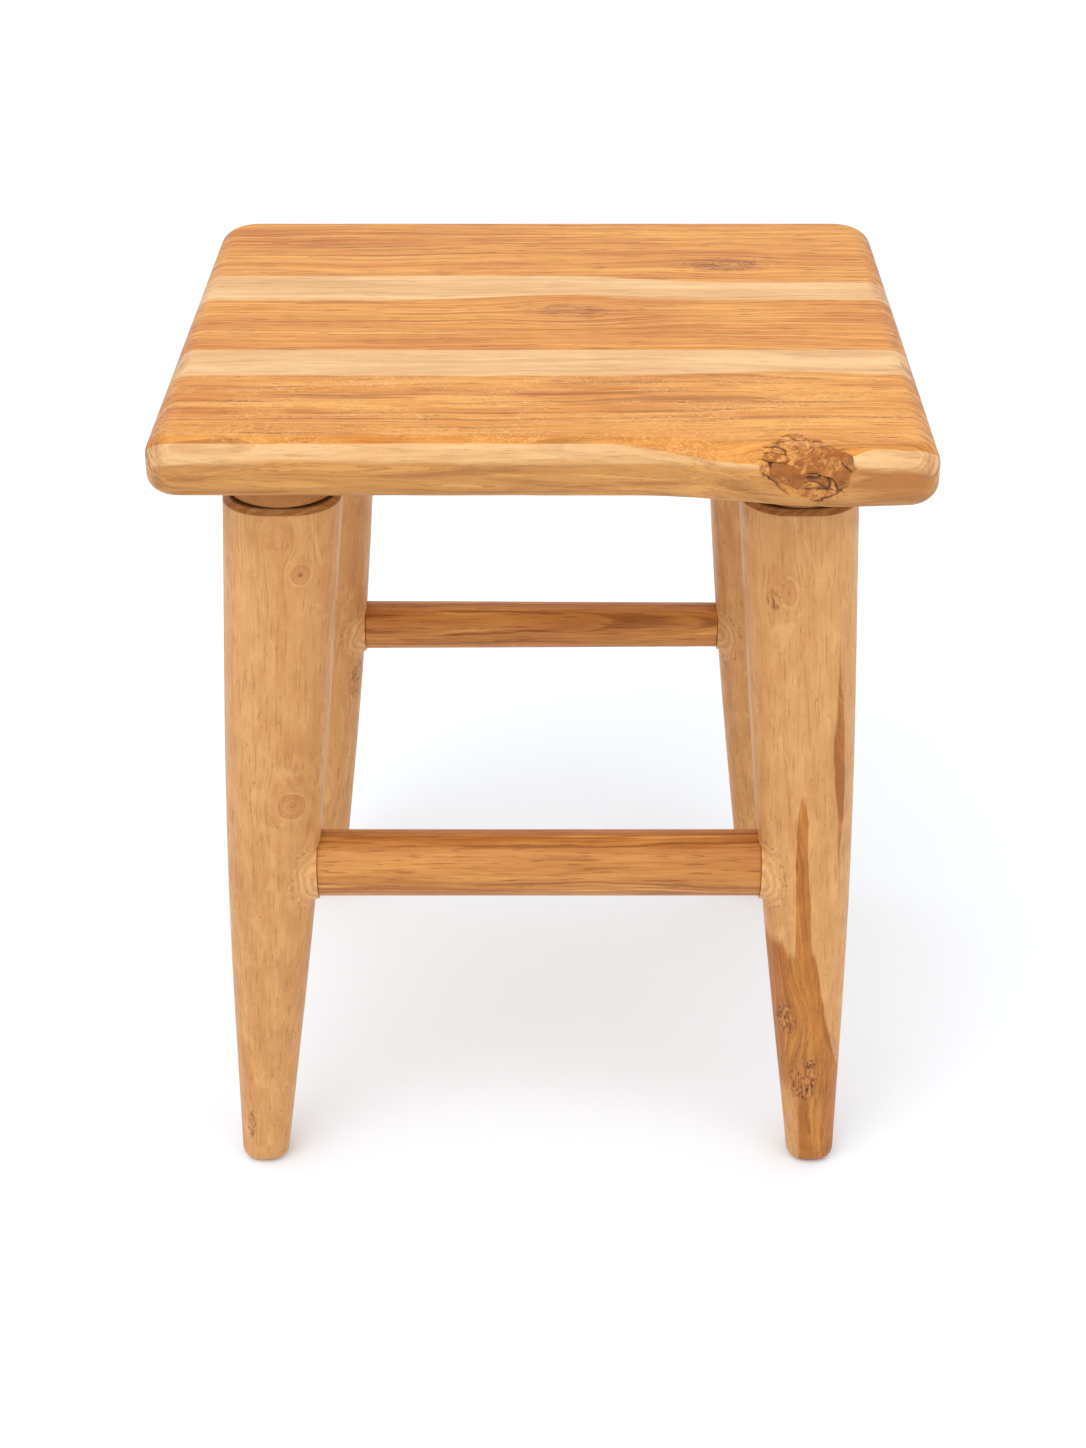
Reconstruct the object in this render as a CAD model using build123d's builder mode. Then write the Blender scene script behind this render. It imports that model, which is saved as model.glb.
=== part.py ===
from build123d import *
import os

# A four-legged milking stool in clear-finished hardwood, all of it joined wood to wood.
# Millimetres, +Z up. The live (natural) edge of the seat faces -Y and +X is to the right of it.
# The origin is on the floor, under the middle of the seat's overall plan.

# ---- Seat: three edge-glued boards ----
seat_width = 378.0
seat_depth = 327.0  # overall, with the burr on the live edge
seat_height = 450.0
seat_thickness = 30.0
seat_left_taper = 5.5  # how far the left end draws in from front to back
seat_front_corner_radius = 16.0
seat_back_corner_radius = 22.0
seat_top_round = 12.0
seat_under_round = 10.0
back_board_width = 113.0
middle_board_width = 86.0

# The live edge is straight on the left, swells out to the burr and stays a little proud of the straight
# line up to the right corner.
burr_bulge = 12.0  # how far the burr stands forward of the straight live edge
burr_shoulder = 9.5  # how far forward the live edge stays to the right of the burr
burr_inset = 58.0  # from the right end to the burr's highest point
burr_swell = 90.0  # length over which the live edge swells out to the burr

# ---- Legs: rounded-square sections along a leaning axis ----
front_leg_inset_x = 62.0  # from the seat's end to the leg's centre, at the leg's top
back_leg_inset_x = 66.0
leg_inset_y = 45.5  # from the seat's straight front or back edge to the leg's centre
front_left_splay_x = 30.0  # how far the foot stands outside the leg's top; no two legs lean quite alike
front_right_splay_x = 26.0
back_splay_x = 22.0
leg_splay_y = 23.0
leg_roundness = 0.8  # corner radius over half the width: 1 would be a circle
leg_sections = (  # share of the leg's length up from the floor, width across the flats
    (0.0, 25.6),
    (0.22, 36.8),
    (0.47, 47.8),
    (0.74, 54.6),
    (1.0, 58.8),
)
back_leg_extra = 2.0  # the back legs are that much stouter than the front pair
leg_top_chamfer = 3.0
foot_round = 6.5

# ---- Collars: bored discs between the legs and the seat ----
collar_diameter = 54.5
collar_thickness = 12.0
collar_edge_round = 1.2

# ---- Leg tenons, through the collars into the seat's underside ----
leg_tenon_diameter = 30.0
leg_tenon_depth = 19.0  # how far it goes up into the seat
leg_tenon_chamfer = 1.5

# ---- Stretchers: round rungs with a turned tenon at each end ----
front_stretcher_height = 191.0
front_stretcher_diameter = 35.5
back_stretcher_height = 200.0
back_stretcher_left_diameter = 29.4  # the back rung tapers a little from left to right
back_stretcher_right_diameter = 27.4
stretcher_tenon_share = 0.64  # tenon diameter over the rung's own diameter
stretcher_tenon_depth = 24.0
stretcher_tenon_chamfer = 1.5
stretcher_end_ease = 0.5  # the small chamfer around each square shoulder

# ---- Bosses: a low round boss is left on the leg where a stretcher's square shoulder meets it ----
boss_rim = 1.4  # how much wider in radius its flat face is than the rung
boss_taper = 12.0  # degrees, widening into the leg
boss_stand = 0.5  # how far its face stands clear of the leg's side at the rung's centre
boss_root = 0.66  # how deep it reaches into the leg, over half the leg's width there

# ---- Clearances ----
socket_clearance = 0.1  # around every tenon, on the radius
socket_end_gap = 1.0  # beyond the end of every tenon

os.makedirs("parts", exist_ok=True)

# ---- Places that follow from those sizes ----
LEFT, RIGHT = -1, 1
FRONT, BACK = -1, 1
corners = {
    "front_left": (LEFT, FRONT),
    "front_right": (RIGHT, FRONT),
    "back_left": (LEFT, BACK),
    "back_right": (RIGHT, BACK),
}
seat_under = seat_height - seat_thickness
leg_length = seat_under - collar_thickness
back_edge = seat_depth / 2
live_edge = burr_bulge - seat_depth / 2  # the straight part of it
first_joint = back_edge - back_board_width
second_joint = first_joint - middle_board_width


def leg_centre(side, end, height):
    """Centre of a leg's section at a height above the floor."""
    lean = 1 - height / leg_length
    if end == BACK:
        edge, inset_x, splay_x = back_edge, back_leg_inset_x, back_splay_x
    else:
        edge, inset_x = live_edge, front_leg_inset_x
        splay_x = front_left_splay_x if side == LEFT else front_right_splay_x
    x = side * (seat_width / 2 - inset_x + splay_x * lean)
    y = edge + end * (leg_splay_y * lean - leg_inset_y)
    return x, y


def leg_width(end, height):
    """Width of a leg across its flats at a height, straight between its named sections."""
    share = height / leg_length
    extra = back_leg_extra if end == BACK else 0.0
    for (low, low_width), (high, high_width) in zip(leg_sections, leg_sections[1:]):
        if share <= high:
            part_way = (share - low) / (high - low)
            return low_width + part_way * (high_width - low_width) + extra
    return leg_sections[-1][1] + extra


def stretcher_diameter(side, end):
    """Diameter of a stretcher at the shoulder on that side."""
    if end == FRONT:
        return front_stretcher_diameter
    return back_stretcher_left_diameter if side == LEFT else back_stretcher_right_diameter


def stretcher_height(end):
    return front_stretcher_height if end == FRONT else back_stretcher_height


def shoulder_plane(side, end):
    """The plane where a stretcher's shoulder meets its leg, facing into the leg."""
    height = stretcher_height(end)
    x, y = leg_centre(side, end, height)
    reach = abs(x) - leg_width(end, height) / 2 - boss_stand
    return Plane(origin=(side * reach, y, height), x_dir=(0, 1, 0), z_dir=(side, 0, 0))


def finish(part, name):
    part.label = name
    export_step(part, f"parts/{name}.step")


# ---- Seat ----
def seat_outline():
    """Plan of the seat with square corners, the live edge towards -Y."""
    right = seat_width / 2
    burr_x = right - burr_inset
    swell_x = burr_x - burr_swell
    front_left = (-right, live_edge)
    front_right = (right, live_edge - burr_shoulder)
    back_left = (seat_left_taper - right, back_edge)
    Line(front_left, (swell_x, live_edge))
    Spline(
        (swell_x, live_edge),
        (burr_x, live_edge - burr_bulge),
        front_right,
        tangents=((1, 0), (1, 0.05)),
    )
    Polyline(front_right, (right, back_edge), back_left, front_left)


with BuildPart() as seat_blank:
    with BuildSketch(Plane.XY.offset(seat_under)):
        with BuildLine():
            seat_outline()
        make_face()
    extrude(amount=seat_thickness)
    fillet(seat_blank.edges().filter_by(Axis.Z).sort_by(Axis.Y)[:2], seat_front_corner_radius)
    fillet(seat_blank.edges().filter_by(Axis.Z).sort_by(Axis.Y)[-2:], seat_back_corner_radius)
    fillet(seat_blank.faces().sort_by(Axis.Z)[-1].edges(), seat_top_round)
    fillet(seat_blank.faces().sort_by(Axis.Z)[0].edges(), seat_under_round)
    for side, end in corners.values():
        with BuildSketch(Plane.XY.offset(seat_under)):
            with Locations(leg_centre(side, end, leg_length)):
                Circle(leg_tenon_diameter / 2 + socket_clearance)
        extrude(amount=leg_tenon_depth + socket_end_gap, mode=Mode.SUBTRACT)

boards = {
    "seat_back_board": (first_joint, back_edge),
    "seat_middle_board": (second_joint, first_joint),
    "seat_front_board": (-seat_depth / 2 - burr_bulge, second_joint),
}
for name, (low_y, high_y) in boards.items():
    with BuildPart() as board:
        add(seat_blank.part)
        with Locations((0, (low_y + high_y) / 2, seat_under + seat_thickness / 2)):
            Box(2 * seat_width, high_y - low_y, 2 * seat_thickness, mode=Mode.INTERSECT)
    finish(board.part, name)


# ---- Legs ----
for corner, (side, end) in corners.items():
    shoulder = shoulder_plane(side, end)
    height = stretcher_height(end)
    rung_radius = stretcher_diameter(side, end) / 2
    boss_radius = rung_radius + boss_rim
    half_width = leg_width(end, height) / 2
    with BuildPart() as leg:
        for share, _ in leg_sections:
            level = share * leg_length
            x, y = leg_centre(side, end, level)
            across = leg_width(end, level)
            with BuildSketch(Plane(origin=(x, y, level))):
                RectangleRounded(across, across, leg_roundness * across / 2)
        loft()
        chamfer(leg.faces().sort_by(Axis.Z)[-1].edges(), leg_top_chamfer)
        fillet(leg.faces().sort_by(Axis.Z)[0].edges(), foot_round)
        # The boss, then the flat that it gives the shoulder where the leaning leg stands proud of it.
        with BuildSketch(shoulder):
            Circle(boss_radius)
        extrude(amount=boss_root * half_width, taper=-boss_taper)
        with BuildSketch(shoulder):
            Circle(boss_radius)
        extrude(amount=-half_width, mode=Mode.SUBTRACT)
        with BuildSketch(shoulder):
            Circle(stretcher_tenon_share * rung_radius + socket_clearance)
        extrude(amount=stretcher_tenon_depth + socket_end_gap, mode=Mode.SUBTRACT)
        with BuildSketch(Plane.XY.offset(leg_length)):
            with Locations(leg_centre(side, end, leg_length)):
                Circle(leg_tenon_diameter / 2)
        extrude(amount=collar_thickness + leg_tenon_depth)
        chamfer(leg.faces().sort_by(Axis.Z)[-1].edges(), leg_tenon_chamfer)
    finish(leg.part, f"leg_{corner}")


# ---- Collars ----
for corner, (side, end) in corners.items():
    with BuildPart() as collar:
        with BuildSketch(Plane.XY.offset(leg_length)):
            with Locations(leg_centre(side, end, leg_length)):
                Circle(collar_diameter / 2)
                Circle(leg_tenon_diameter / 2 + socket_clearance, mode=Mode.SUBTRACT)
        extrude(amount=collar_thickness)
        rims = collar.edges().filter_by(GeomType.CIRCLE).sort_by(SortBy.RADIUS)[-2:]
        fillet(rims, collar_edge_round)
    finish(collar.part, f"collar_{corner}")


# ---- Stretchers ----
def stretcher_half_profile(side, end):
    """Points of a stretcher's outline from its shoulder out to the axis at the tenon's tip."""
    shoulder_x = shoulder_plane(side, end).origin.X
    radius = stretcher_diameter(side, end) / 2
    tenon_radius = stretcher_tenon_share * radius
    tip_x = shoulder_x + side * stretcher_tenon_depth
    return [
        (shoulder_x - side * stretcher_end_ease, radius),
        (shoulder_x, radius - stretcher_end_ease),
        (shoulder_x, tenon_radius),
        (tip_x - side * stretcher_tenon_chamfer, tenon_radius),
        (tip_x, tenon_radius - stretcher_tenon_chamfer),
        (tip_x, 0),
    ]


for name, end in (("stretcher_front", FRONT), ("stretcher_back", BACK)):
    height = stretcher_height(end)
    axis_y = leg_centre(LEFT, end, height)[1]
    lengthwise = Plane(origin=(0, axis_y, height), x_dir=(1, 0, 0), z_dir=(0, -1, 0))
    with BuildPart() as stretcher:
        with BuildSketch(lengthwise):
            with BuildLine():
                outline = stretcher_half_profile(LEFT, end)[::-1] + stretcher_half_profile(RIGHT, end)
                Polyline(*outline, close=True)
            make_face()
        revolve(axis=Axis((0, axis_y, height), (1, 0, 0)))
    finish(stretcher.part, name)
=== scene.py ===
import math

import bmesh
import bpy
from mathutils import Euler, Matrix, Vector, noise


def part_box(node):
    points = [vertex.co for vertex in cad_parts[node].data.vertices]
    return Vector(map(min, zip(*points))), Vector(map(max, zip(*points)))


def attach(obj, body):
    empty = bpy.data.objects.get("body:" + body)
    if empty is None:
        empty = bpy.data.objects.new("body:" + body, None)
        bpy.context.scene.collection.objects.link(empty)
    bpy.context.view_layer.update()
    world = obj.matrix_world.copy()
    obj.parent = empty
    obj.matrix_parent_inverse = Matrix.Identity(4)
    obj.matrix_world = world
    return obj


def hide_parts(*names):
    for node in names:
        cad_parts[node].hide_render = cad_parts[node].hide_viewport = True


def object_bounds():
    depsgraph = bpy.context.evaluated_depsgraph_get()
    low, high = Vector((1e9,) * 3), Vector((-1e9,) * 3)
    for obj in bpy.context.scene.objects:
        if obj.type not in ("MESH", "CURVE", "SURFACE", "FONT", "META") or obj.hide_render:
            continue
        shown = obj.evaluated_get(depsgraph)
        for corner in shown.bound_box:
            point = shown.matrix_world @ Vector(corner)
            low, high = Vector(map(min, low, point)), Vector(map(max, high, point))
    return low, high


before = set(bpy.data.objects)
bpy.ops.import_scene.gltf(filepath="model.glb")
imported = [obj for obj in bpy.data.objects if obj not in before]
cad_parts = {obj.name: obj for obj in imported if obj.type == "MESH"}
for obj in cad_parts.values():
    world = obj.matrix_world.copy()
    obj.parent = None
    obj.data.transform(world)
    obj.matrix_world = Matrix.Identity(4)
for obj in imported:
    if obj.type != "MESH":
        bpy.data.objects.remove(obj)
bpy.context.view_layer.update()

# A milking stool in varnished hardwood. The construction comes from the frame; this script gives every
# piece its wood, carves the burr into the live edge and sets up the studio. Lengths are metres, and the
# wood patterns work in millimetres in each piece's own grain frame: u runs along the grain, v and w across.

MM = 0.001


# ---------------------------------------------------------------- colours
def tone(red, green, blue):
    """A colour given as 0-255 screen values, as the shader wants it."""
    linear = [((value / 255 + 0.055) / 1.055) ** 2.4 for value in (red, green, blue)]
    return (*linear, 1.0)


# ---------------------------------------------------------------- node shorthand
class Tree:
    """A material's nodes, with short calls for the sums that a wood pattern is made of."""

    def __init__(self, name):
        self.material = bpy.data.materials.new(name)
        self.material.use_nodes = True
        self.nodes = self.material.node_tree.nodes
        self.links = self.material.node_tree.links
        self.nodes.clear()

    def node(self, kind, **settings):
        made = self.nodes.new(kind)
        for key, value in settings.items():
            setattr(made, key, value)
        return made

    def feed(self, socket, value):
        if isinstance(value, bpy.types.NodeSocket):
            self.links.new(value, socket)
        else:
            socket.default_value = value

    def math(self, how, *values, clamp=False):
        made = self.node("ShaderNodeMath", operation=how, use_clamp=clamp)
        for socket, value in zip(made.inputs, values):
            self.feed(socket, value)
        return made.outputs[0]

    def add(self, a, b):
        return self.math("ADD", a, b)

    def times(self, a, b):
        return self.math("MULTIPLY", a, b)

    def vector(self, how, *values):
        made = self.node("ShaderNodeVectorMath", operation=how)
        for socket, value in zip(made.inputs, values):
            self.feed(socket, value)
        return made.outputs["Value"] if how in ("LENGTH", "DOT_PRODUCT") else made.outputs[0]

    def join(self, x, y, z):
        made = self.node("ShaderNodeCombineXYZ")
        for socket, value in zip(made.inputs, (x, y, z)):
            self.feed(socket, value)
        return made.outputs[0]

    def split(self, place):
        made = self.node("ShaderNodeSeparateXYZ")
        self.feed(made.inputs[0], place)
        return made.outputs[:]

    def step(self, value, low, high):
        """0 at low, 1 at high, with a smooth turn between them."""
        made = self.node("ShaderNodeMapRange", interpolation_type="SMOOTHSTEP", clamp=True)
        for name, given in (("Value", value), ("From Min", low), ("From Max", high)):
            self.feed(made.inputs[name], given)
        return made.outputs[0]

    def line(self, value, low, high, to_low, to_high):
        """A straight ramp from to_low to to_high, flat beyond both ends."""
        made = self.node("ShaderNodeMapRange", clamp=True)
        names = ("Value", "From Min", "From Max", "To Min", "To Max")
        for name, given in zip(names, (value, low, high, to_low, to_high)):
            self.feed(made.inputs[name], given)
        return made.outputs[0]

    def swing(self, value, amount):
        """A noise about zero, scaled."""
        return self.times(self.math("SUBTRACT", value, 0.5), amount)

    def bell(self, value, centre, width):
        off = self.math("DIVIDE", self.math("SUBTRACT", value, centre), width)
        return self.math("EXPONENT", self.times(self.times(off, off), -1.0))

    def noise(self, place, scale, detail=2.0, rough=0.5, warp=0.0):
        made = self.node("ShaderNodeTexNoise", noise_dimensions="3D")
        self.feed(made.inputs["Vector"], place)
        for name, given in (("Scale", scale), ("Detail", detail), ("Roughness", rough), ("Distortion", warp)):
            made.inputs[name].default_value = given
        return made.outputs[0]

    def mix(self, share, a, b):
        made = self.node("ShaderNodeMix", data_type="RGBA")
        for index, given in ((0, share), (6, a), (7, b)):
            self.feed(made.inputs[index], given)
        return made.outputs[2]

    def blend(self, share, a, b):
        """Number a where share is 0, number b where it is 1."""
        made = self.node("ShaderNodeMix", data_type="FLOAT")
        for index, given in ((0, share), (2, a), (3, b)):
            self.feed(made.inputs[index], given)
        return made.outputs[0]


# ---------------------------------------------------------------- wood
SEED_STEP = 37.0  # how far apart two woods lie in the same noise
KNOT_EDGE = (1.05, 0.7)  # the reaches at which a knot's colour begins and is full


def grain_place(tree, origin, turn):
    """Where a point lies in the piece's grain frame, in millimetres."""
    coords = tree.node("ShaderNodeTexCoord")
    lie = tree.node("ShaderNodeMapping", vector_type="TEXTURE")
    lie.inputs["Location"].default_value = origin
    lie.inputs["Rotation"].default_value = turn
    lie.inputs["Scale"].default_value = (MM, MM, MM)
    tree.links.new(coords.outputs["Object"], lie.inputs["Vector"])
    return lie.outputs[0]


def around_knots(tree, place, knots):
    """Lets the grain flow around each knot, and returns the bent place with each knot's reach.

    A knot's reach is 0 at its centre and 1 at its ragged rim."""
    bent, reaches = place, []
    for centre, size, spread, _, ringed in knots:
        off = tree.vector("SUBTRACT", place, centre)
        near = tree.vector("LENGTH", tree.vector("DIVIDE", off, [s * spread for s in size]))
        pull = tree.times(tree.math("EXPONENT", tree.times(tree.times(near, near), -1.0)), 0.7)
        bent = tree.vector("SUBTRACT", bent, tree.vector("MULTIPLY", off, tree.join(0.0, pull, pull)))
        ragged = tree.times(tree.noise(place, 0.16 if ringed else 0.3, 3.0, 0.6), 0.35 if ringed else 1.1)
        reach = tree.add(tree.vector("LENGTH", tree.vector("DIVIDE", off, size)), ragged)
        reaches.append(tree.math("SUBTRACT", reach, 0.17 if ringed else 0.55))
    return bent, reaches


def veins(tree, place, scale, width, warp=0.0, detail=2.0):
    """Thin wandering lines: 1 on a line and 0 away from it."""
    return tree.bell(tree.noise(place, scale, detail, 0.5, warp), 0.5, width)


def stretched(tree, u, v, w, along, across, shift):
    """A place for streaks: stretched along the grain, and shifted so that no two woods match."""
    return tree.join(tree.times(u, along), tree.times(v, across), tree.add(tree.times(w, across), shift))


def growth_rings(tree, u, v, w, pith, looks, shift):
    """How far a point lies from the pith, with a slow wander and a small ripple along the grain."""
    drift = tree.noise(stretched(tree, u, v, w, 0.0042, 0.012, shift), 1.0, 2.0, 0.5)
    ripple = tree.noise(stretched(tree, u, v, w, 0.03, 0.02, shift + 3.0), 1.0, 2.0, 0.5)
    off_v = tree.add(tree.math("SUBTRACT", v, pith[0]), tree.swing(drift, looks["wander"]))
    off_v = tree.add(off_v, tree.swing(ripple, looks["ripple"]))
    off_w = tree.math("SUBTRACT", w, pith[1])
    return tree.math("SQRT", tree.add(tree.times(off_v, off_v), tree.times(off_w, off_w)))


def ringed_knot(tree, place, reach, mottled, looks, dark, colour):
    """A round knot cut across: fine rings, a pale broken rim and a small dark eye."""
    inside = tree.step(reach, *KNOT_EDGE)
    turns = tree.add(tree.times(reach, 19.0), tree.times(tree.noise(place, 0.35, 2.0), 9.0))
    rings = tree.line(tree.math("SINE", turns), -1.0, 1.0, 0.4, 1.0)
    rim = tree.times(tree.bell(reach, 1.0, 0.13), tree.line(mottled, 0.4, 0.6, 0.3, 1.0))
    eye = tree.step(reach, 0.24, 0.10)
    ring_colour = tree.mix(rings, looks["knot_dark"], looks["knot_light"])
    colour = tree.mix(tree.times(inside, 0.55 * dark), colour, ring_colour)
    colour = tree.mix(tree.times(rim, 0.42), colour, looks["knot_halo"])
    colour = tree.mix(tree.times(tree.bell(reach, 0.86, 0.06), 0.4 * dark), colour, looks["knot_dark"])
    return colour, rim, eye


def swirled_knot(tree, streaks, reach, mottled, looks, dark, colour):
    """A knot cut aslant: dark strokes and specks drawn out along the grain, with no rings."""
    inside = tree.step(reach, *KNOT_EDGE)
    strokes = tree.times(veins(tree, streaks, 0.8, 0.04, 1.0), 0.8)
    colour = tree.mix(tree.times(inside, 0.45 * dark), colour, looks["knot_light"])
    edge = tree.times(tree.bell(reach, 0.75, 0.10), tree.step(mottled, 0.50, 0.60))
    rim = tree.times(inside, tree.math("MAXIMUM", strokes, edge))
    eye = tree.times(inside, tree.step(tree.noise(streaks, 1.4, 2.0), 0.58, 0.70))
    colour = tree.mix(tree.times(rim, dark), colour, looks["knot_rim"])
    return colour, rim, eye


def varnish(tree, colour, height, gloss):
    """A thin satin varnish over the finished wood colour."""
    shader = tree.node("ShaderNodeBsdfPrincipled")
    tree.feed(shader.inputs["Base Color"], colour)
    tree.feed(shader.inputs["Roughness"], gloss)
    shader.inputs["Specular IOR Level"].default_value = 0.24
    shader.inputs["Coat Weight"].default_value = 0.05
    shader.inputs["Coat Roughness"].default_value = 0.35
    bump = tree.node("ShaderNodeBump")
    bump.inputs["Strength"].default_value = 0.6
    bump.inputs["Distance"].default_value = 0.00025
    tree.feed(bump.inputs["Height"], height)
    tree.feed(shader.inputs["Normal"], bump.outputs[0])
    out = tree.node("ShaderNodeOutputMaterial")
    tree.feed(out.inputs["Surface"], shader.outputs[0])


def wood(name, origin, turn, pith, seed, looks, heart_share, knots=(), ends=None, extra=None):
    """A varnished solid wood.

    origin and turn place the grain frame, pith is the tree's centre in it as (v, w), looks is the named
    set of colours and strengths, and heart_share(tree, x, y, z) gives 1 in heartwood and 0 in sapwood.
    knots are (centre, size, spread, darkness, ringed). ends(tree, x, y, z) gives 1 on end grain, and
    extra(tree, place, colour, relief) adds what only this piece has."""
    tree = Tree(name)
    place = grain_place(tree, origin, turn)
    bent, reaches = around_knots(tree, place, knots)
    u, v, w = tree.split(bent)
    x, y, z = tree.split(place)
    shift = seed * SEED_STEP
    ring = growth_rings(tree, u, v, w, pith, looks, shift)

    def along_rings(along, across, gap, detail, rough):
        streak = tree.join(tree.times(u, along), tree.times(ring, across), shift + gap)
        return tree.noise(streak, 1.0, detail, rough)

    def along_grain(along, across, gap, detail, rough):
        return tree.noise(stretched(tree, u, v, w, along, across, shift + gap), 1.0, detail, rough)

    bands = along_rings(0.0016, 0.075, 0.0, 2.0, 0.5)
    streaks = along_rings(0.0040, 0.32, 4.0, 3.0, 0.65)
    late = tree.step(along_rings(0.0060, 0.50, 7.0, 2.0, 0.6), 0.57, 0.63)
    gleam = tree.step(along_rings(0.0060, 0.32, 11.0, 2.0, 0.6), 0.57, 0.66)
    fibre = along_grain(0.022, 0.55, 0.0, 3.0, 0.70)
    pores = tree.step(along_grain(0.050, 0.80, 2.0, 2.0, 0.6), 0.59, 0.66)
    cloud = along_grain(0.012, 0.035, 6.0, 3.0, 0.55)
    patch = along_grain(0.06, 0.11, 8.0, 4.0, 0.7)

    # How light the wood is at a point, from 0 to 1.
    strength = looks["contrast"]
    level = tree.add(tree.swing(bands, 1.5 * strength), 0.5)
    level = tree.add(level, tree.swing(streaks, 1.8 * strength))
    level = tree.add(level, tree.swing(fibre, 1.5 * strength))
    level = tree.add(level, tree.swing(patch, looks["mottle"]))
    level = tree.math("ADD", level, tree.swing(cloud, 1.1 * strength), clamp=True)

    heart = heart_share(tree, x, y, z)
    heart_colour = tree.mix(level, looks["heart_dark"], looks["heart_light"])
    heart_colour = tree.mix(tree.times(gleam, looks["gleam"]), heart_colour, looks["heart_gleam"])
    heart_colour = tree.mix(tree.times(late, looks["late_heart"]), heart_colour, looks["heart_late"])
    sap_colour = tree.mix(level, looks["sap_dark"], looks["sap_light"])
    sap_colour = tree.mix(tree.times(late, looks["late_sap"]), sap_colour, looks["sap_late"])
    colour = tree.mix(heart, sap_colour, heart_colour)
    pore_share = tree.times(pores, tree.blend(heart, looks["pore_sap"], looks["pore_heart"]))
    colour = tree.mix(pore_share, colour, looks["pore"])
    specks = tree.noise(stretched(tree, x, y, z, 0.30, 0.55, shift), 1.0, 2.0, 0.6)
    colour = tree.mix(tree.times(tree.step(specks, 0.68, 0.73), looks["specks"]), colour, looks["pore"])
    scraped = veins(tree, stretched(tree, x, y, z, 0.010, 0.030, shift), 1.0, 0.018, 0.9, 2.0)
    scraped = tree.times(scraped, tree.math("SUBTRACT", 1.0, heart))
    scraped = tree.times(scraped, tree.step(patch, 0.40, 0.60))
    colour = tree.mix(tree.times(scraped, looks["scraped"]), colour, looks["sap_light"])
    relief = tree.add(tree.times(pores, -0.6), tree.times(late, -0.3))

    if ends:
        end = ends(tree, x, y, z)
        grit_place = tree.join(tree.times(x, 0.12), tree.times(ring, 0.45), shift)
        grit = tree.line(tree.noise(grit_place, 1.0, 3.0, 0.7), 0.47, 0.58, looks["end_low"], 0.85)
        colour = tree.mix(tree.times(end, grit), colour, looks["end_grain"])

    knot_streaks = stretched(tree, x, y, z, 0.13, 0.40, shift)
    mottled = tree.noise(place, 0.12, 2.0)
    for reach, (_, _, _, dark, ringed) in zip(reaches, knots):
        if ringed:
            colour, rim, eye = ringed_knot(tree, place, reach, mottled, looks, dark, colour)
        else:
            colour, rim, eye = swirled_knot(tree, knot_streaks, reach, mottled, looks, dark, colour)
        colour = tree.mix(tree.times(eye, dark), colour, looks["knot_eye"])
        relief = tree.add(relief, tree.times(tree.add(rim, eye), -0.8 * dark))
    if extra:
        colour, relief = extra(tree, place, colour, relief)

    hewn = tree.noise(stretched(tree, x, y, z, 0.014, 0.045, shift), 1.0, 2.0)
    height = tree.add(tree.add(relief, tree.times(hewn, looks["hewn"])), tree.times(fibre, 0.7))
    gloss = tree.add(tree.add(tree.times(fibre, 0.16), looks["roughness"]), tree.times(pores, 0.12))
    varnish(tree, colour, height, gloss)
    return tree.material


board_looks = {
    "heart_dark": tone(188, 108, 32),
    "heart_light": tone(227, 160, 74),
    "heart_late": tone(138, 74, 22),
    "heart_gleam": tone(240, 184, 104),
    "sap_dark": tone(206, 153, 97),
    "sap_light": tone(232, 190, 136),
    "sap_late": tone(180, 122, 70),
    "end_grain": tone(146, 84, 38),
    "end_low": 0.08,
    "late_heart": 0.50,
    "late_sap": 0.26,
    "gleam": 0.40,
    "pore": tone(120, 64, 28),
    "pore_heart": 0.50,
    "pore_sap": 0.20,
    "knot_dark": tone(132, 74, 36),
    "knot_light": tone(190, 124, 68),
    "knot_halo": tone(222, 168, 106),
    "knot_rim": tone(118, 62, 24),
    "knot_eye": tone(96, 50, 20),
    "contrast": 1.0,
    "specks": 0.15,
    "mottle": 0.25,
    "scraped": 0.0,
    "wander": 26.0,
    "ripple": 2.5,
    "hewn": 2.0,
    "roughness": 0.36,
}
leg_looks = dict(
    board_looks,
    sap_dark=tone(180, 119, 62),
    sap_light=tone(216, 164, 104),
    sap_late=tone(150, 94, 48),
    heart_dark=tone(138, 74, 22),
    heart_light=tone(198, 128, 54),
    end_grain=tone(138, 88, 46),
    end_low=0.5,
    late_sap=0.16,
    pore_sap=0.28,
    pore=tone(132, 80, 42),
    gleam=0.2,
    contrast=0.36,
    specks=0.55,
    mottle=1.0,
    scraped=0.45,
    wander=16.0,
    ripple=4.0,
    hewn=9.0,
)
collar_looks = dict(leg_looks, sap_dark=tone(150, 90, 38), sap_light=tone(184, 126, 66))
rung_looks = dict(
    board_looks,
    heart_dark=tone(158, 90, 36),
    heart_light=tone(210, 146, 76),
    heart_late=tone(116, 60, 24),
    contrast=0.85,
    late_heart=0.55,
    wander=14.0,
)


# ---------------------------------------------------------------- seat boards
SEAT_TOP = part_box("seat_middle_board")[1].z
SEAT_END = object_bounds()[1][0] / MM
LIVE_EDGE = -151.5  # mm, where the straight part of the live edge runs
BACK_BAND, MIDDLE_BAND, FRONT_BAND = 69.5, 34.0, -68.5  # mm, y where heartwood meets each glue line's sapwood
BURR_X = 122.0  # mm, the burr's middle along the live edge
LIVE_BAND = -147.0  # mm, y where heartwood meets the live edge's sapwood
LOBE_CENTRE = (169.0, -159.0, -15.0)  # mm, of the swelling between the burr and the right corner
LOBE_SIZE = (18.0, 12.0, 7.5)
ALONG_X = (0.0, 0.0, 0.0)
BOARD_ORIGIN = (0.0, 0.0, SEAT_TOP)


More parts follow.
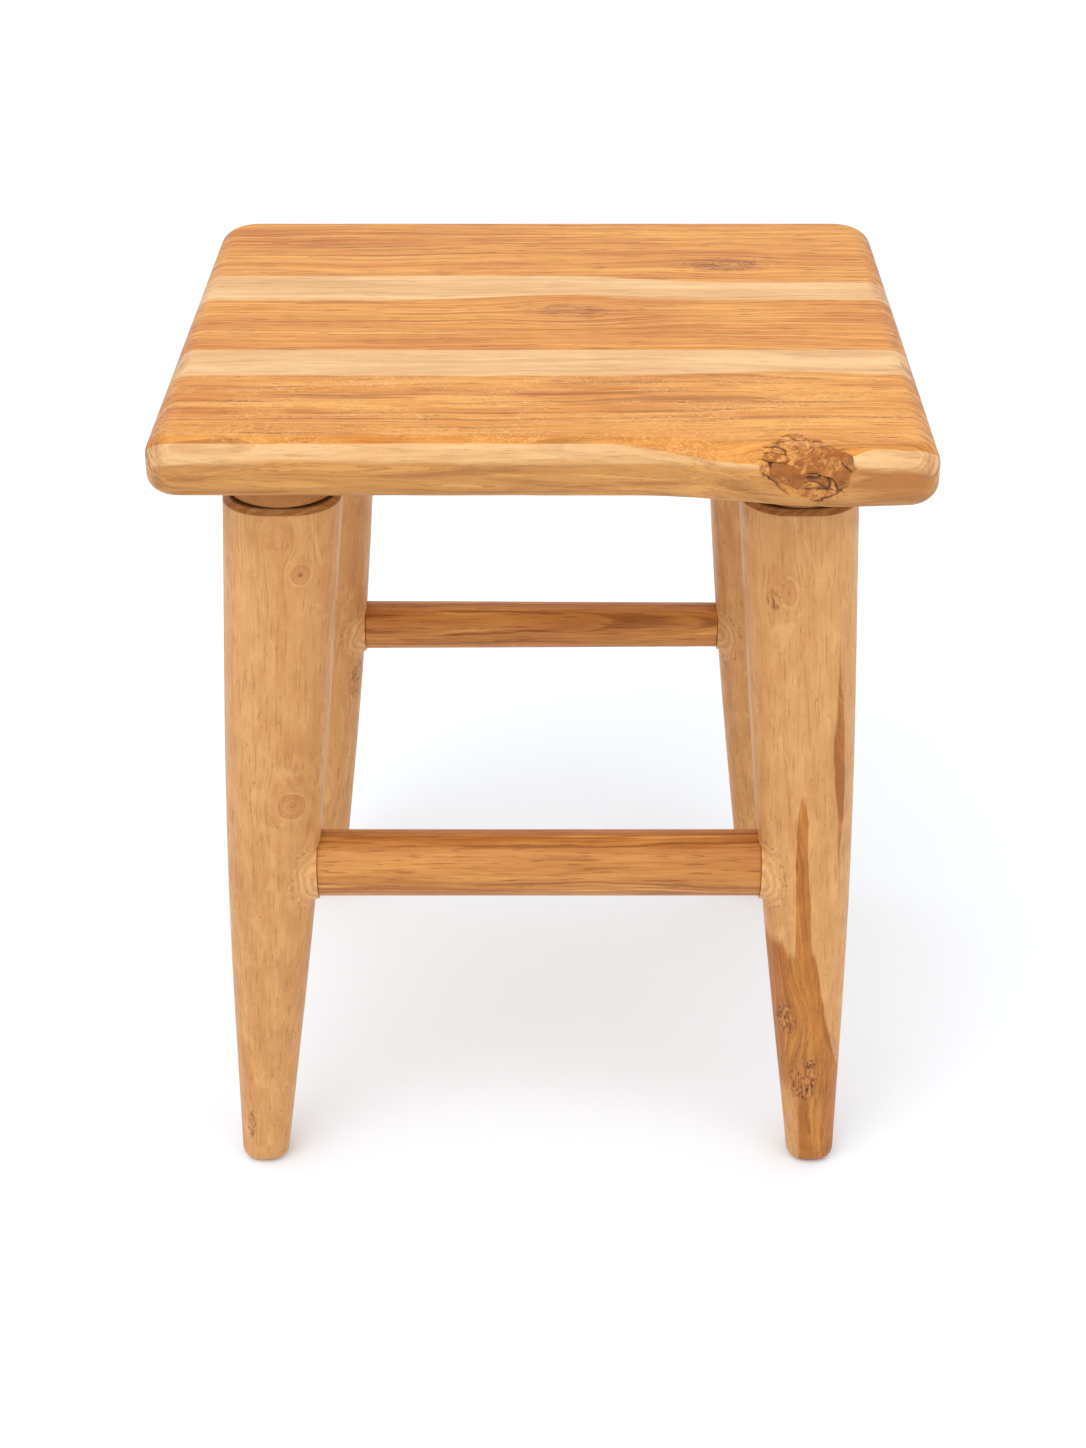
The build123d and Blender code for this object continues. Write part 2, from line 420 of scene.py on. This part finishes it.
def wavering(tree, x, shift, amount):
    """A boundary's small wander along the grain, in millimetres."""
    return tree.swing(tree.noise(tree.join(tree.times(x, 0.018), shift, 0.0), 1.0, 3.0, 0.6), amount)


def back_board_heart(tree, x, y, z):
    """Heartwood with a pale front edge, which narrows towards the right, past the knot."""
    edge = tree.add(tree.times(tree.step(x, 15.0, 95.0), -9.5), BACK_BAND)
    edge = tree.add(edge, wavering(tree, x, 3.0, 2.5))
    return tree.step(tree.math("SUBTRACT", y, edge), -0.5, 0.7)


def middle_board_heart(tree, x, y, z):
    """Heartwood with a pale back edge that bows around the swirl."""
    edge = tree.add(tree.times(tree.bell(x, 12.0, 48.0), 7.0), MIDDLE_BAND)
    edge = tree.add(edge, wavering(tree, x, 7.0, 2.5))
    return tree.step(tree.math("SUBTRACT", y, edge), 0.6, -0.6)


def front_board_heart(tree, x, y, z):
    """Heartwood between a pale back edge and the sapwood of the live edge, which dips into the burr."""
    back = tree.add(tree.times(tree.bell(x, BURR_X, 45.0), 5.0), FRONT_BAND)
    back = tree.add(back, wavering(tree, x, 11.0, 3.5))
    live = tree.add(tree.times(tree.step(x, 26.0, 112.0), -17.0), LIVE_BAND)
    live = tree.add(live, tree.times(tree.step(x, 138.0, 158.0), 8.5))
    live = tree.add(live, tree.add(wavering(tree, x, 15.0, 2.0), tree.times(z, -0.8)))
    behind = tree.step(tree.math("SUBTRACT", y, back), 0.6, -0.6)
    ahead = tree.step(tree.math("SUBTRACT", y, live), -0.5, 0.7)
    return tree.times(behind, ahead)


def board_ends(tree, x, y, z):
    return tree.step(tree.math("ABSOLUTE", x), SEAT_END - 14.0, SEAT_END - 3.0)


def heart_curls(tree, place, colour):
    """Fine light curls in the front board's heartwood, closest together before the burr."""
    x, y, z = tree.split(place)
    curl_place = stretched(tree, x, y, z, 0.22, 0.40, 4.0)
    curls = veins(tree, curl_place, 1.0, 0.03, 1.4)
    where_place = tree.join(tree.times(x, 0.02), tree.times(y, 0.07), 9.0)
    where = tree.step(tree.noise(where_place, 1.0, 2.0), 0.42, 0.55)
    above = tree.step(tree.math("SUBTRACT", y, LIVE_EDGE + 4.0), 0.0, 4.0)
    where = tree.times(tree.times(where, above), tree.step(y, -62.0, -72.0))
    calm = tree.times(tree.bell(x, 66.0, 38.0), tree.step(y, -124.0, -136.0))
    calm = tree.times(calm, front_board_heart(tree, x, y, z))
    colour = tree.mix(tree.times(calm, 0.7), colour, tone(212, 139, 60))
    where = tree.math("MAXIMUM", where, calm)
    return tree.mix(tree.times(tree.times(curls, where), 0.6), colour, tone(240, 186, 112))


def front_face(tree, place, colour):
    """Below the live edge's rounding the front face is painted darker in long flames: the flames are grain,
    and the darkening is partly painted shade of a face turned from the light.
    """
    x, y, z = tree.split(place)
    depth = tree.add(tree.math("SUBTRACT", LIVE_EDGE + 6.0, y), tree.times(z, -1.0))
    depth = tree.add(depth, tree.times(tree.step(x, 50.0, 110.0), -8.0))
    flame_place = tree.join(tree.times(x, 0.012), tree.times(z, 0.14), tree.times(y, 0.14))
    flame = tree.noise(flame_place, 1.0, 4.0, 0.62, 0.6)
    low = tree.step(tree.add(depth, tree.times(flame, 14.0)), 19.0, 24.0)
    low = tree.times(low, tree.step(y, LIVE_EDGE + 12.0, LIVE_EDGE + 3.0))
    # Painted shade in part: the front face below the rounding takes this darker colour, with the grain's
    # flames in it.
    flame_and_shade_colour = tree.mix(tree.step(flame, 0.34, 0.66), tone(158, 97, 38), tone(206, 144, 72))
    colour = tree.mix(tree.times(low, 0.85), colour, flame_and_shade_colour)
    licks = tree.times(tree.step(tree.math("FRACT", tree.times(flame, 7.0)), 0.82, 0.95), low)
    return tree.mix(tree.times(licks, 0.5), colour, tone(150, 90, 44)), flame


def right_lobe(tree, place, colour, flame):
    """The lobe between the burr and the right corner: soft rings around a darker heart."""
    off = tree.vector("DIVIDE", tree.vector("SUBTRACT", place, LOBE_CENTRE), LOBE_SIZE)
    lobe = tree.vector("LENGTH", off)
    lobe = tree.add(lobe, tree.times(tree.noise(place, 0.08, 2.0), 0.5))
    rings = tree.line(tree.math("SINE", tree.times(lobe, 15.0)), -1.0, 1.0, 0.0, 0.12)
    colour = tree.mix(tree.times(tree.step(lobe, 1.25, 0.85), 0.60), colour, tone(176, 112, 54))
    colour = tree.mix(tree.times(tree.step(lobe, 1.9, 0.9), rings), colour, tone(150, 90, 44))
    rim = tree.times(tree.bell(lobe, 1.18, 0.10), tree.line(flame, 0.4, 0.6, 0.0, 0.4))
    return tree.mix(rim, colour, tone(140, 84, 42))


def live_edge_figure(tree, place, colour, relief):
    """What the front board alone shows: its curls, its front face painted darker (partly painted shade), the
    right-hand lobe and the burr.

    The burr's own lines come from how deep its mesh is carved, kept in the mesh as "burr"."""
    x, y, z = tree.split(place)
    colour = heart_curls(tree, place, colour)
    colour, flame = front_face(tree, place, colour)
    colour = right_lobe(tree, place, colour, flame)

    carved = tree.node("ShaderNodeAttribute", attribute_type="GEOMETRY", attribute_name="burr")
    inside, groove, block = tree.split(carved.outputs["Vector"])
    mottle = tree.noise(place, 0.22, 3.0, 0.6, 0.8)
    block_shade = tree.add(tree.times(block, 0.45), tree.add(tree.swing(mottle, 2.6), 0.38))
    block_colour = tree.mix(tree.step(block_shade, 0.0, 1.0), tone(154, 84, 26), tone(228, 158, 80))
    threads = veins(tree, stretched(tree, x, y, z, 0.13, 0.17, 2.0), 1.0, 0.026, 1.6, 3.0)
    block_colour = tree.mix(tree.times(threads, 0.65), block_colour, tone(104, 54, 22))
    # Painted shade: the burr darkens towards its lower part, where it turns down over the live edge.
    block_colour = tree.mix(tree.times(tree.step(z, -9.0, -22.0), 0.35), block_colour, tone(140, 78, 34))
    ragged = tree.add(inside, tree.swing(tree.noise(place, 0.35, 3.0, 0.6), 1.2))
    colour = tree.mix(tree.times(tree.step(ragged, 0.2, 0.9), 0.9), colour, block_colour)
    colour = tree.mix(tree.times(tree.step(groove, 0.15, 0.85), 0.85), colour, tone(84, 44, 20))
    return colour, tree.add(relief, tree.times(threads, -0.5))


# The boards' knots, in the same order of values, from the middle of the seat's top.
back_knots = [((101.0, 87.0, 0.0), (24.0, 11.0, 9.0), 1.5, 0.75, False)]
middle_knots = [
    ((17.0, 18.5, 0.0), (21.0, 11.0, 9.0), 1.7, 0.45, False),
    ((-156.0, -11.0, 0.0), (9.0, 4.0, 6.0), 1.8, 0.35, False),
]
front_knots = [
    ((-114.0, -110.0, 0.0), (11.0, 3.5, 6.0), 1.8, 0.35, False),
    ((BURR_X, -157.0, -9.0), (24.0, 19.0, 19.0), 1.05, 0.0, False),
]

dressed = {
    "seat_back_board": wood(
        "back_board_wood", BOARD_ORIGIN, ALONG_X, (300.0, -70.0), 1, board_looks,
        back_board_heart, back_knots, board_ends,
    ),
    "seat_middle_board": wood(
        "middle_board_wood", BOARD_ORIGIN, ALONG_X, (-190.0, -70.0), 2, board_looks,
        middle_board_heart, middle_knots, board_ends,
    ),
}
front_board_wood = wood(
    "front_board_wood", BOARD_ORIGIN, ALONG_X, (-20.0, -150.0), 3, board_looks,
    front_board_heart, front_knots, board_ends, live_edge_figure,
)

# The burr, in the seat's own frame: millimetres, with fold running down over the live edge.
BURR_FOLD = 13.0
BURR_HALF_WIDTH, BURR_HALF_FOLD = 22.0, 24.0
BURR_LOW = (94.0, -170.0, 421.0)
BURR_HIGH = (160.0, -133.0, 455.0)
BURR_CUT = 0.7  # spacing of the fine cuts
CRACK_DEPTH = 1.1
BLOCK_DEPTH = 0.8
WAVE_PITCH = 6.0  # spacing of the cuts along the rest of the live edge
WAVE_DEPTH = 0.45
SHARP_ANGLE = math.radians(40)  # edges sharper than this stay crisp


def fold_at(point):
    """How far over the live edge a point lies: negative on the top, positive down the front."""
    return (LIVE_EDGE + 1.5 - point.y) + (SEAT_TOP / MM - point.z)


def burr_inside(point):
    """1 well inside the burr and 0 outside its ragged rim, which comes to a point on the seat's top."""
    fold = fold_at(point) - BURR_FOLD
    lean = 0.32 if fold > 0 else 0.12  # it leans to the right on its way down
    across = point.x - BURR_X - lean * fold
    ragged = 0.30 * noise.noise(point * 0.16) + 0.07 * noise.noise(point * 0.5)
    sharpness = 2.6 if fold > 0 else 1.05
    reach = (abs(across) / BURR_HALF_WIDTH) ** 1.6 + (abs(fold) / BURR_HALF_FOLD) ** sharpness + ragged
    return min(1.0, max(0.0, (1.08 - reach) / 0.16))


def burr_blocks(point, inside):
    """How much of a crack there is at a point, and which of the burr's blocks the point is in.

    The cracks run between blocks of several sizes, and some of them fade out."""
    swirl = Vector((noise.noise(point * 0.07 + Vector((apart, 0, 0))) for apart in (0.0, 17.0, 31.0)))
    bent = point + 11.0 * swirl
    gaps, centres = noise.voronoi(Vector((bent.x * 0.050, bent.y * 0.078, bent.z * 0.078)))
    strength = min(1.0, max(0.0, 0.7 + 1.8 * noise.noise(point * 0.08 + Vector((0, 9, 0)))))
    wide = strength * math.exp(-(((gaps[1] - gaps[0]) / 0.05) ** 2))
    finer = noise.voronoi((point + 9.0 * swirl) * 0.12)[0]
    thin = math.exp(-(((finer[1] - finer[0]) / 0.07) ** 2))
    thin *= 0.5 * max(0.0, 0.5 + 1.5 * noise.noise(point * 0.11))
    rim = math.exp(-(((inside - 0.5) / 0.3) ** 2)) * max(0.0, 0.3 + 1.2 * noise.noise(point * 0.10))
    return min(1.0, max(wide * inside, thin * inside, rim)), noise.cell(centres[0] * 40.0)


def reaches_into(face, low, high):
    """Whether a face's own box meets the box from low to high."""
    spans = [sorted(vert.co[axis] for vert in face.verts) for axis in range(3)]
    return all(span[-1] >= low[axis] and span[0] <= high[axis] for axis, span in enumerate(spans))


def carved_front_board():
    """The front board with the burr carved into it and the live edge's slight waves."""
    mesh = bmesh.new()
    mesh.from_mesh(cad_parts["seat_front_board"].data)
    bmesh.ops.remove_doubles(mesh, verts=mesh.verts, dist=1e-6)
    bmesh.ops.scale(mesh, verts=mesh.verts, vec=(1 / MM, 1 / MM, 1 / MM))

    def cut(axes, pitch, low, high):
        """Cuts the faces that reach into a box with evenly spaced planes across each of the axes."""
        near = [face for face in mesh.faces if reaches_into(face, low, high)]
        geometry = [*near, *{e for f in near for e in f.edges}, *{v for f in near for v in f.verts}]
        for axis in axes:
            steps = round((high[axis] - low[axis]) / pitch)
            normal = Vector((axis == 0, axis == 1, axis == 2))
            for step in range(steps + 1):
                at = normal * (low[axis] + (high[axis] - low[axis]) * step / steps)
                done = bmesh.ops.bisect_plane(mesh, geom=geometry, dist=1e-4, plane_co=at, plane_no=normal)
                geometry = done["geom"]

    cut((0,), WAVE_PITCH, (-180.0, -170.0, 418.0), (180.0, LIVE_EDGE + 14.0, 455.0))
    cut((0, 1, 2), BURR_CUT, BURR_LOW, BURR_HIGH)
    mesh.normal_update()
    for edge in mesh.edges:
        edge.smooth = edge.calc_face_angle(0.0) < SHARP_ANGLE
    for face in mesh.faces:
        face.smooth = True

    lines = mesh.verts.layers.float_vector.new("burr")
    for vert in mesh.verts:
        point, normal = vert.co.copy(), vert.normal.copy()
        inside = burr_inside(point)
        crack, block = burr_blocks(point, inside)
        vert[lines] = (inside, crack, block)
        sunk = inside * BLOCK_DEPTH * (block + 0.4 * noise.noise(point * 0.2)) + CRACK_DEPTH * crack
        wave = 0.0
        if point.y < LIVE_EDGE + 8.0:
            swell = 1.0 + noise.noise(Vector((point.x * 0.03, 0.0, point.z * 0.05)))
            wave = WAVE_DEPTH * swell * min(1.0, -normal.y + 0.1)
        vert.co = point - normal * (max(0.0, sunk) + max(0.0, wave))
    bmesh.ops.scale(mesh, verts=mesh.verts, vec=(MM, MM, MM))
    data = bpy.data.meshes.new("front_board_with_burr")
    mesh.to_mesh(data)
    mesh.free()
    board = bpy.data.objects.new("front_board_with_burr", data)
    bpy.context.scene.collection.objects.link(board)
    data.materials.append(front_board_wood)
    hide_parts("seat_front_board")
    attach(board, "root")


carved_front_board()


# ---------------------------------------------------------------- legs, collars and rungs
def all_sapwood(tree, x, y, z):
    return 0.0


def all_heartwood(tree, x, y, z):
    return 1.0


def upright_grain(node):
    """The grain frame of a leg: u up its leaning axis from the foot, v to the right and w to the back."""
    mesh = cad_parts[node].data
    top = max(v.co.z for v in mesh.vertices)
    sole = [v.co for v in mesh.vertices if v.co.z < 0.0005]
    tip = [v.co for v in mesh.vertices if v.co.z > top - 0.0005]
    foot = sum(sole, Vector()) / len(sole)
    head = sum(tip, Vector()) / len(tip)
    up = (head - foot).normalized()
    right = (Vector((1, 0, 0)) - up * up.x).normalized()
    back = up.cross(right)
    turn = Matrix((up, right, back)).transposed().to_euler()
    return tuple(foot), tuple(turn)


LEG_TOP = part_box("collar_front_left")[0].z / MM
TENON_DEPTH = 24.0  # how far a rung's tenon goes into its leg
BOSS_RADIUS = 12.5  # how far the boss's rings reach along the rung's line
BOSS_MARGIN = 3.0  # how far they reach above and below the rung
# Painted shade: the colour put on the dark line of shadow in the gap where two pieces meet.
JOINT_PAINTED_SHADE = tone(46, 24, 12)  # the dark line where two pieces meet


def level_height(tree):
    """How high a point stands above the floor, in millimetres."""
    coords = tree.node("ShaderNodeTexCoord")
    return tree.times(tree.split(coords.outputs["Object"])[2], 1 / MM)


def leg_ends(tree, x, y, z):
    """End grain on the bevel around the leg's top."""
    return tree.step(level_height(tree), LEG_TOP - 3.3, LEG_TOP - 2.4)


def leg_joints(rung, side):
    """What a leg shows at its joints: painted shade as a dark line under the collar, and a pale ringed boss
    at the rung.
    """
    low, high = (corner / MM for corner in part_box(rung))
    shoulder = (low.x + TENON_DEPTH) if side < 0 else (high.x - TENON_DEPTH)
    height = (low.z + high.z) / 2
    radius = (high.z - low.z) / 2

    def show(tree, place, colour, relief):
        coords = tree.node("ShaderNodeTexCoord")
        x, _, z = tree.split(coords.outputs["Object"])
        wide = tree.math("DIVIDE", tree.math("SUBTRACT", x, shoulder * MM), BOSS_RADIUS * MM)
        tall = tree.math("DIVIDE", tree.math("SUBTRACT", z, height * MM), (radius + BOSS_MARGIN) * MM)
        reach = tree.math("SQRT", tree.add(tree.times(wide, wide), tree.times(tall, tall)))
        reach = tree.add(reach, tree.swing(tree.noise(place, 0.12, 3.0, 0.6), 0.5))
        inside = tree.step(reach, 1.05, 0.85)
        rings = tree.line(tree.math("SINE", tree.times(reach, 21.0)), -1.0, 1.0, 0.1, 0.75)
        colour = tree.mix(tree.times(inside, rings), colour, tone(226, 172, 112))
        specks = tree.step(tree.noise(place, 0.42, 3.0, 0.7), 0.54, 0.62)
        speckled = tree.times(tree.times(tree.bell(reach, 1.02, 0.16), specks), 0.55)
        colour = tree.mix(speckled, colour, tone(128, 72, 34))
        # Painted shade: the leg darkens just under its top, where the gap under the collar is in shadow.
        gap_painted_shade = tree.times(tree.step(level_height(tree), LEG_TOP - 0.8, LEG_TOP - 0.1), 0.75)
        return tree.mix(gap_painted_shade, colour, JOINT_PAINTED_SHADE), tree.add(relief, tree.times(inside, specks))

    return show


def right_leg_heart(tree, x, y, z):
    """Heartwood that fills the leg's foot and climbs its inner side, with a pointed flame above it.

    The three reaches are how high the heartwood comes at each place across the leg."""
    across = tree.add(y, tree.swing(tree.noise(stretched(tree, x, y, z, 0.02, 0.06, 0.0), 1.0, 3.0), 6.0))
    inner_side = tree.line(across, -25.0, -12.0, 182.0, 146.0)
    outer_side = tree.line(across, 1.3, 15.0, 154.0, 60.0)
    flame = tree.math("SUBTRACT", 244.0, tree.times(tree.math("POWER", tree.add(across, 3.5), 4.0), 0.25))
    reach = tree.math("MAXIMUM", tree.math("MINIMUM", inner_side, outer_side), flame)
    main = tree.step(tree.math("SUBTRACT", x, reach), 4.0, -4.0)
    sliver = tree.times(tree.step(across, -6.0, -8.5), tree.step(x, 60.0, 45.0))
    main = tree.times(main, tree.math("SUBTRACT", 1.0, sliver))
    thin_width = tree.times(tree.bell(x, 262.0, 42.0), 3.2)
    off_thin = tree.math("ABSOLUTE", tree.add(across, -15.5))
    thin = tree.step(tree.math("SUBTRACT", off_thin, thin_width), 0.3, -0.5)
    return tree.math("MAXIMUM", main, thin)


# Each knot: its centre in the grain frame, its size, how far it bends the grain, how dark it is, and
# whether it shows rings. The frame's u starts at the leg's foot.
leg_knots = {
    "leg_front_left": [
        ((374.0, 13.5, -27.0), (6.0, 5.6, 9.0), 1.7, 0.6, True),
        ((394.0, 3.0, -27.0), (9.0, 7.0, 9.0), 1.5, 0.3, False),
        ((241.0, 11.5, -23.0), (8.5, 7.5, 9.0), 1.7, 0.8, True),
        ((28.0, -7.0, -12.0), (11.0, 3.0, 8.0), 1.5, 0.7, False),
    ],
    "leg_front_right": [
        ((360.0, -16.5, -23.0), (6.5, 4.5, 9.0), 1.6, 0.65, False),
        ((364.0, -9.5, -26.0), (8.0, 4.2, 9.0), 1.6, 0.5, True),
        ((102.0, -13.0, -14.0), (12.0, 6.5, 8.0), 1.6, 1.3, False),
        ((60.0, -4.0, -16.0), (18.0, 8.5, 8.0), 1.6, 1.15, False),
    ],
    "leg_back_left": [((170.0, 20.0, -12.7), (15.0, 9.0, 9.0), 1.5, 0.7, False)],
    "leg_back_right": [((233.0, -26.0, -4.0), (16.0, 7.0, 8.0), 1.5, 0.8, False)],
}
leg_rungs = {leg: "stretcher_front" if "front" in leg else "stretcher_back" for leg in leg_knots}
leg_piths = {
    "leg_front_left": (-16.0, 44.0),
    "leg_front_right": (-30.0, 30.0),
    "leg_back_left": (10.0, 42.0),
    "leg_back_right": (-12.0, 40.0),
}
for number, leg in enumerate(sorted(leg_knots)):
    origin, turn = upright_grain(leg)
    heart = right_leg_heart if leg == "leg_front_right" else all_sapwood
    dressed[leg] = wood(
        leg.replace("leg_", "") + "_leg_wood", origin, turn, leg_piths[leg], 10 + number, leg_looks,
        heart, leg_knots[leg], leg_ends, leg_joints(leg_rungs[leg], -1 if leg.endswith("left") else 1),
    )


def collar_painted_gap_shade(tree, place, colour, relief):
    """Painted shade: a dark line around the collar's foot, and a fainter one under the seat, where the gaps
    are in shadow.
    """
    _, _, z = tree.split(place)
    foot = tree.times(tree.step(z, -4.9, -5.8), 0.75)
    head = tree.times(tree.step(z, 5.2, 6.0), 0.6)
    return tree.mix(tree.math("MAXIMUM", foot, head), colour, JOINT_PAINTED_SHADE), relief


for number, corner in enumerate(("front_left", "front_right", "back_left", "back_right")):
    low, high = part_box("collar_" + corner)
    middle = tuple((low + high) / 2)
    dressed["collar_" + corner] = wood(
        corner + "_collar_wood", middle, (0.0, 0.0, 0.2 * number), (8.0, -60.0), 20 + number, collar_looks,
        all_sapwood, extra=collar_painted_gap_shade,
    )

for number, rung in enumerate(("stretcher_front", "stretcher_back")):
    low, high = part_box(rung)
    middle = tuple((low + high) / 2)
    dressed[rung] = wood(
        rung + "_wood", middle, (0.3, 0.0, 0.0), (30.0, -34.0), 30 + number, rung_looks, all_heartwood
    )

for node, material in dressed.items():
    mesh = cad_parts[node].data
    mesh.materials.clear()
    mesh.materials.append(material)


# ---------------------------------------------------------------- studio
FLOOR_REACH = 6.0  # metres from its middle to each edge
STOOL_MIDDLE = Vector((0.0, 0.0, 0.3))
LOOK_DOWN = 31.1  # degrees


def add_floor():
    """A matt floor, a little blue so that the warm light off the wood leaves its shadow neutral."""
    mesh = bmesh.new()
    bmesh.ops.create_grid(mesh, x_segments=1, y_segments=1, size=FLOOR_REACH)
    data = bpy.data.meshes.new("studio_floor")
    mesh.to_mesh(data)
    mesh.free()
    floor = bpy.data.objects.new("studio_floor", data)
    bpy.context.scene.collection.objects.link(floor)
    tree = Tree("pale_floor")
    shader = tree.node("ShaderNodeBsdfPrincipled")
    shader.inputs["Base Color"].default_value = (0.89, 0.945, 1.0, 1.0)
    shader.inputs["Roughness"].default_value = 0.9
    shader.inputs["Specular IOR Level"].default_value = 0.1
    out = tree.node("ShaderNodeOutputMaterial")
    tree.feed(out.inputs["Surface"], shader.outputs[0])
    data.materials.append(tree.material)


def add_softbox(name, place, size, power):
    """A round softbox that is aimed at the middle of the stool."""
    data = bpy.data.lights.new(name, "AREA")
    data.shape = "DISK"
    data.size = size
    data.energy = power
    lamp = bpy.data.objects.new(name, data)
    bpy.context.scene.collection.objects.link(lamp)
    lamp.location = place
    aim = STOOL_MIDDLE - Vector(place)
    lamp.rotation_euler = aim.to_track_quat("-Z", "Y").to_euler()


def add_sky_light(name, tilt, spread, strength):
    """A very wide, far softbox, so that the floor is lit evenly. Tilt is in degrees about x and about y."""
    data = bpy.data.lights.new(name, "SUN")
    data.angle = math.radians(spread)
    data.energy = strength
    lamp = bpy.data.objects.new(name, data)
    bpy.context.scene.collection.objects.link(lamp)
    lamp.rotation_euler = (math.radians(tilt[0]), math.radians(tilt[1]), 0.0)


def add_air(strength):
    """Plain white light from all around."""
    world = bpy.data.worlds.new("studio_air")
    world.use_nodes = True
    air = world.node_tree.nodes["Background"]
    air.inputs["Color"].default_value = (1.0, 1.0, 1.0, 1.0)
    air.inputs["Strength"].default_value = strength
    bpy.context.scene.world = world


def add_camera():
    """The view from in front, looking down at the seat."""
    data = bpy.data.cameras.new("studio_camera")
    data.lens = 60.5
    data.sensor_width = 36.0
    camera = bpy.data.objects.new("studio_camera", data)
    bpy.context.scene.collection.objects.link(camera)
    camera.location = (0.001, -1.195, 0.927)
    camera.rotation_euler = Euler((math.radians(90 - LOOK_DOWN), 0.0, 0.0))
    bpy.context.scene.camera = camera


add_floor()
add_softbox("key_softbox", (-0.9, -1.4, 2.4), size=1.8, power=12.0)
add_softbox("fill_softbox", (1.6, -1.3, 1.5), size=1.6, power=5.0)
add_sky_light("sky_softbox", tilt=(20.0, -18.0), spread=60.0, strength=0.50)
add_air(1.0)
add_camera()
bpy.context.scene.view_settings.view_transform = "Standard"
bpy.context.scene.view_settings.look = "None"
